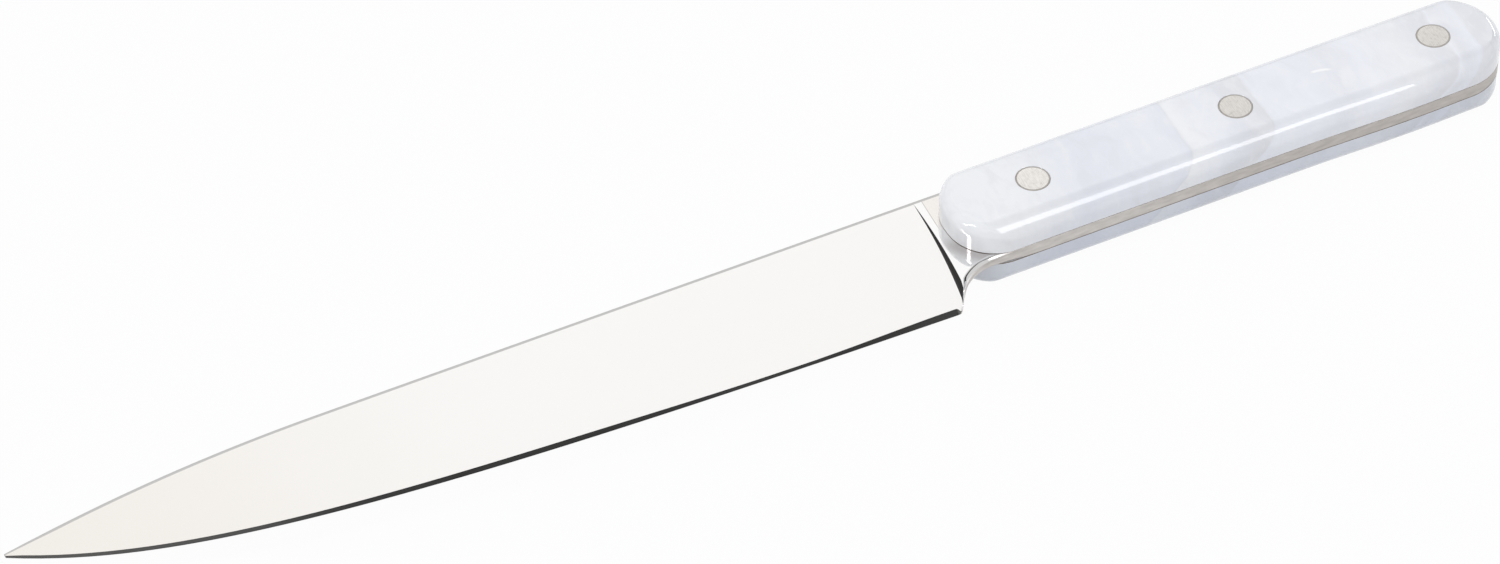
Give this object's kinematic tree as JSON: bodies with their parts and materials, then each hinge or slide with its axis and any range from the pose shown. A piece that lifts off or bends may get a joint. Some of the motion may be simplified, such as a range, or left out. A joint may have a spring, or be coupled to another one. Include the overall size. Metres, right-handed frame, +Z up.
{
  "type": "fillet knife",
  "caption": "Fixed-blade kitchen knife with a slim flat-ground blade, a full tang and rounded pearl scales riveted to it, for filleting and slicing.",
  "frame": {"origin": "middle of the bounding box, on the surface that the knife lies on", "axes": "+X from the point to the butt, +Y from the cutting edge to the spine, +Z up, out of the side that the knife doesn't lie on"},
  "size_m": [0.2948, 0.0282, 0.0141],
  "materials": {
    "blade_steel": "satin ground flanks, polished collar",
    "pearl_acrylic": "polished pearl white with a cool cast",
    "rivet_metal": "ground flush, fine scratches"
  },
  "bodies": {
    "root": {"blade": "blade_steel", "upper_scale": "pearl_acrylic", "lower_scale": "pearl_acrylic", "front_rivet_sleeve": "rivet_metal", "front_rivet_stud": "rivet_metal", "middle_rivet_sleeve": "rivet_metal", "middle_rivet_stud": "rivet_metal", "rear_rivet_sleeve": "rivet_metal", "rear_rivet_stud": "rivet_metal"}
  },
  "joints": []
}
